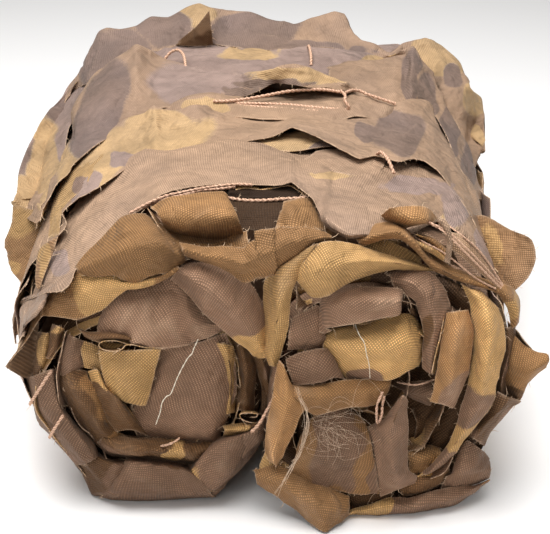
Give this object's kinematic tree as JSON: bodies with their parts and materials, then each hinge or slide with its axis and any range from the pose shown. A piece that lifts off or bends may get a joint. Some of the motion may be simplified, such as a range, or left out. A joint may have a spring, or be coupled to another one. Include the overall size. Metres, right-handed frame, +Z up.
{
  "type": "rolled camouflage net",
  "caption": "Camouflage net with cloth garnish strips, rolled from both ends into a double scroll that lies on its two rolls, with loose cloth ends at its front.",
  "frame": {"origin": "middle of the bundle's underside, on the surface it lies on", "axes": "+Y along the two rolls, away from the end where the loose cloth ends show; +Z up; +X across the rolls"},
  "size_m": [0.2942, 0.4112, 0.1895],
  "materials": {
    "tan_cloth": "woven cloth, stiffly coated, camouflage of tan and brown",
    "olive_cloth": "woven cloth, stiffly coated, golden olive",
    "brown_cloth": "woven cloth, stiffly coated, dark brown",
    "mauve_cloth": "woven cloth, stiffly coated, grey mauve brown",
    "net_cord": "two-strand twisted net cord, pale pinkish tan"
  },
  "bodies": {
    "root": {"wound_net": "brown_cloth", "front_strip": "tan_cloth", "second_strip": "tan_cloth", "third_strip": "olive_cloth", "fourth_strip": "mauve_cloth", "fifth_strip": "brown_cloth", "rear_strip": "mauve_cloth", "left_leaf_high": "olive_cloth", "right_leaf_high": "tan_cloth", "right_leaf_low": "tan_cloth", "left_leaf_low": "brown_cloth", "left_lip": "tan_cloth", "inner_fold": "tan_cloth", "middle_flap": "tan_cloth", "top_flap": "brown_cloth", "square_end": "olive_cloth", "rolled_edge": "mauve_cloth", "golden_arch": "olive_cloth", "upper_band": "mauve_cloth", "arch_band": "brown_cloth", "folded_strip": "tan_cloth", "outer_band": "olive_cloth", "cross_strip": "tan_cloth", "slanting_strip": "tan_cloth", "standing_fold": "mauve_cloth", "front_foot": "tan_cloth", "right_curl": "mauve_cloth", "back_flap_left": "olive_cloth", "back_flap_right": "brown_cloth"}
  },
  "joints": []
}
